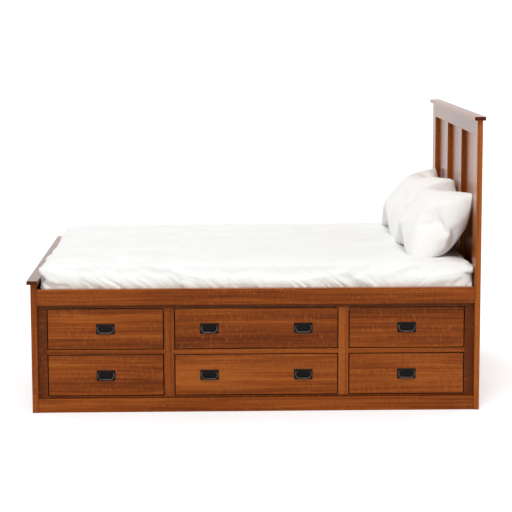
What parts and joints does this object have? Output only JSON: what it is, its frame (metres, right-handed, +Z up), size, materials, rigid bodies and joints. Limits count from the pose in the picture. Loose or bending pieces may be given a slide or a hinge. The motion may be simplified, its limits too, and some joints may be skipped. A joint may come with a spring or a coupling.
{
  "type": "platform bed with storage drawers",
  "caption": "Mission-style oak platform bed with panelled headboard and footboard, drawers with bail pulls under both long sides, slats, mattress, duvet and pillows.",
  "frame": {"origin": "on the floor, under the middle of the whole bed", "axes": "+X along the bed towards the headboard, -Y to the side on the left of a person lying on their back, +Z up"},
  "size_m": [2.152, 1.688, 1.396],
  "materials": {
    "oak": "reddish-brown stained quarter-sawn oak under satin lacquer",
    "case_wood": "stained case plywood, matt",
    "slat_wood": "planed softwood, unfinished",
    "slide_steel": "zinc-plated",
    "black_iron": "hand-rubbed black",
    "mattress_ticking": "woven ticking",
    "white_cotton": "plain woven cotton"
  },
  "bodies": {
    "bed": {"headboard_posts": "oak", "headboard_frame": "oak", "headboard_panels": "oak", "headboard_cap": "oak", "footboard_posts": "oak", "footboard_frame": "oak", "footboard_panels": "oak", "footboard_cap": "oak", "side_rails": "oak", "plinth_rails": "oak", "face_frames": "oak", "case_sides": "case_wood", "case_spine": "case_wood", "drawer_channels": "slide_steel", "slat_deck": "slat_wood", "rail_brackets": "slide_steel", "mattress": "mattress_ticking", "duvet": "white_cotton", "left_pillow": "white_cotton", "right_pillow": "white_cotton"},
    "left_lower_foot_drawer": {"left_lower_foot_drawer": "oak", "left_lower_foot_hardware": "black_iron"},
    "left_lower_foot_bail": {"left_lower_foot_bail": "black_iron"},
    "left_lower_middle_drawer": {"left_lower_middle_drawer": "oak", "left_lower_middle_hardware": "black_iron"},
    "left_lower_middle_foot_bail": {"left_lower_middle_foot_bail": "black_iron"},
    "left_lower_middle_head_bail": {"left_lower_middle_head_bail": "black_iron"},
    "left_lower_head_drawer": {"left_lower_head_drawer": "oak", "left_lower_head_hardware": "black_iron"},
    "left_lower_head_bail": {"left_lower_head_bail": "black_iron"},
    "left_upper_foot_drawer": {"left_upper_foot_drawer": "oak", "left_upper_foot_hardware": "black_iron"},
    "left_upper_foot_bail": {"left_upper_foot_bail": "black_iron"},
    "left_upper_middle_drawer": {"left_upper_middle_drawer": "oak", "left_upper_middle_hardware": "black_iron"},
    "left_upper_middle_foot_bail": {"left_upper_middle_foot_bail": "black_iron"},
    "left_upper_middle_head_bail": {"left_upper_middle_head_bail": "black_iron"},
    "left_upper_head_drawer": {"left_upper_head_drawer": "oak", "left_upper_head_hardware": "black_iron"},
    "left_upper_head_bail": {"left_upper_head_bail": "black_iron"},
    "right_lower_foot_drawer": {"right_lower_foot_drawer": "oak", "right_lower_foot_hardware": "black_iron"},
    "right_lower_foot_bail": {"right_lower_foot_bail": "black_iron"},
    "right_lower_middle_drawer": {"right_lower_middle_drawer": "oak", "right_lower_middle_hardware": "black_iron"},
    "right_lower_middle_foot_bail": {"right_lower_middle_foot_bail": "black_iron"},
    "right_lower_middle_head_bail": {"right_lower_middle_head_bail": "black_iron"},
    "right_lower_head_drawer": {"right_lower_head_drawer": "oak", "right_lower_head_hardware": "black_iron"},
    "right_lower_head_bail": {"right_lower_head_bail": "black_iron"},
    "right_upper_foot_drawer": {"right_upper_foot_drawer": "oak", "right_upper_foot_hardware": "black_iron"},
    "right_upper_foot_bail": {"right_upper_foot_bail": "black_iron"},
    "right_upper_middle_drawer": {"right_upper_middle_drawer": "oak", "right_upper_middle_hardware": "black_iron"},
    "right_upper_middle_foot_bail": {"right_upper_middle_foot_bail": "black_iron"},
    "right_upper_middle_head_bail": {"right_upper_middle_head_bail": "black_iron"},
    "right_upper_head_drawer": {"right_upper_head_drawer": "oak", "right_upper_head_hardware": "black_iron"},
    "right_upper_head_bail": {"right_upper_head_bail": "black_iron"}
  },
  "joints": [
    {"name": "left_lower_foot_drawer_slide", "type": "slide", "parent": "bed", "child": "left_lower_foot_drawer", "axis": [0, -1, 0], "range_m": [0, 0.45]},
    {"name": "left_lower_foot_bail_hinge", "type": "hinge", "parent": "left_lower_foot_drawer", "child": "left_lower_foot_bail", "pos_m": [-0.7115, -0.8135, 0.185], "axis": [-1, 0, 0], "range_deg": [0, 90]},
    {"name": "left_lower_middle_drawer_slide", "type": "slide", "parent": "bed", "child": "left_lower_middle_drawer", "axis": [0, -1, 0], "range_m": [0, 0.45]},
    {"name": "left_lower_middle_foot_bail_hinge", "type": "hinge", "parent": "left_lower_middle_drawer", "child": "left_lower_middle_foot_bail", "pos_m": [-0.22, -0.8135, 0.185], "axis": [-1, 0, 0], "range_deg": [0, 90]},
    {"name": "left_lower_middle_head_bail_hinge", "type": "hinge", "parent": "left_lower_middle_drawer", "child": "left_lower_middle_head_bail", "pos_m": [0.226, -0.8135, 0.185], "axis": [-1, 0, 0], "range_deg": [0, 90]},
    {"name": "left_lower_head_drawer_slide", "type": "slide", "parent": "bed", "child": "left_lower_head_drawer", "axis": [0, -1, 0], "range_m": [0, 0.45]},
    {"name": "left_lower_head_bail_hinge", "type": "hinge", "parent": "left_lower_head_drawer", "child": "left_lower_head_bail", "pos_m": [0.7175, -0.8135, 0.185], "axis": [-1, 0, 0], "range_deg": [0, 90]},
    {"name": "left_upper_foot_drawer_slide", "type": "slide", "parent": "bed", "child": "left_upper_foot_drawer", "axis": [0, -1, 0], "range_m": [0, 0.45]},
    {"name": "left_upper_foot_bail_hinge", "type": "hinge", "parent": "left_upper_foot_drawer", "child": "left_upper_foot_bail", "pos_m": [-0.7115, -0.8135, 0.409], "axis": [-1, 0, 0], "range_deg": [0, 90]},
    {"name": "left_upper_middle_drawer_slide", "type": "slide", "parent": "bed", "child": "left_upper_middle_drawer", "axis": [0, -1, 0], "range_m": [0, 0.45]},
    {"name": "left_upper_middle_foot_bail_hinge", "type": "hinge", "parent": "left_upper_middle_drawer", "child": "left_upper_middle_foot_bail", "pos_m": [-0.22, -0.8135, 0.409], "axis": [-1, 0, 0], "range_deg": [0, 90]},
    {"name": "left_upper_middle_head_bail_hinge", "type": "hinge", "parent": "left_upper_middle_drawer", "child": "left_upper_middle_head_bail", "pos_m": [0.226, -0.8135, 0.409], "axis": [-1, 0, 0], "range_deg": [0, 90]},
    {"name": "left_upper_head_drawer_slide", "type": "slide", "parent": "bed", "child": "left_upper_head_drawer", "axis": [0, -1, 0], "range_m": [0, 0.45]},
    {"name": "left_upper_head_bail_hinge", "type": "hinge", "parent": "left_upper_head_drawer", "child": "left_upper_head_bail", "pos_m": [0.7175, -0.8135, 0.409], "axis": [-1, 0, 0], "range_deg": [0, 90]},
    {"name": "right_lower_foot_drawer_slide", "type": "slide", "parent": "bed", "child": "right_lower_foot_drawer", "axis": [0, 1, 0], "range_m": [0, 0.45]},
    {"name": "right_lower_foot_bail_hinge", "type": "hinge", "parent": "right_lower_foot_drawer", "child": "right_lower_foot_bail", "pos_m": [-0.7115, 0.8135, 0.185], "axis": [1, 0, 0], "range_deg": [0, 90]},
    {"name": "right_lower_middle_drawer_slide", "type": "slide", "parent": "bed", "child": "right_lower_middle_drawer", "axis": [0, 1, 0], "range_m": [0, 0.45]},
    {"name": "right_lower_middle_foot_bail_hinge", "type": "hinge", "parent": "right_lower_middle_drawer", "child": "right_lower_middle_foot_bail", "pos_m": [-0.22, 0.8135, 0.185], "axis": [1, 0, 0], "range_deg": [0, 90]},
    {"name": "right_lower_middle_head_bail_hinge", "type": "hinge", "parent": "right_lower_middle_drawer", "child": "right_lower_middle_head_bail", "pos_m": [0.226, 0.8135, 0.185], "axis": [1, 0, 0], "range_deg": [0, 90]},
    {"name": "right_lower_head_drawer_slide", "type": "slide", "parent": "bed", "child": "right_lower_head_drawer", "axis": [0, 1, 0], "range_m": [0, 0.45]},
    {"name": "right_lower_head_bail_hinge", "type": "hinge", "parent": "right_lower_head_drawer", "child": "right_lower_head_bail", "pos_m": [0.7175, 0.8135, 0.185], "axis": [1, 0, 0], "range_deg": [0, 90]},
    {"name": "right_upper_foot_drawer_slide", "type": "slide", "parent": "bed", "child": "right_upper_foot_drawer", "axis": [0, 1, 0], "range_m": [0, 0.45]},
    {"name": "right_upper_foot_bail_hinge", "type": "hinge", "parent": "right_upper_foot_drawer", "child": "right_upper_foot_bail", "pos_m": [-0.7115, 0.8135, 0.409], "axis": [1, 0, 0], "range_deg": [0, 90]},
    {"name": "right_upper_middle_drawer_slide", "type": "slide", "parent": "bed", "child": "right_upper_middle_drawer", "axis": [0, 1, 0], "range_m": [0, 0.45]},
    {"name": "right_upper_middle_foot_bail_hinge", "type": "hinge", "parent": "right_upper_middle_drawer", "child": "right_upper_middle_foot_bail", "pos_m": [-0.22, 0.8135, 0.409], "axis": [1, 0, 0], "range_deg": [0, 90]},
    {"name": "right_upper_middle_head_bail_hinge", "type": "hinge", "parent": "right_upper_middle_drawer", "child": "right_upper_middle_head_bail", "pos_m": [0.226, 0.8135, 0.409], "axis": [1, 0, 0], "range_deg": [0, 90]},
    {"name": "right_upper_head_drawer_slide", "type": "slide", "parent": "bed", "child": "right_upper_head_drawer", "axis": [0, 1, 0], "range_m": [0, 0.45]},
    {"name": "right_upper_head_bail_hinge", "type": "hinge", "parent": "right_upper_head_drawer", "child": "right_upper_head_bail", "pos_m": [0.7175, 0.8135, 0.409], "axis": [1, 0, 0], "range_deg": [0, 90]}
  ]
}
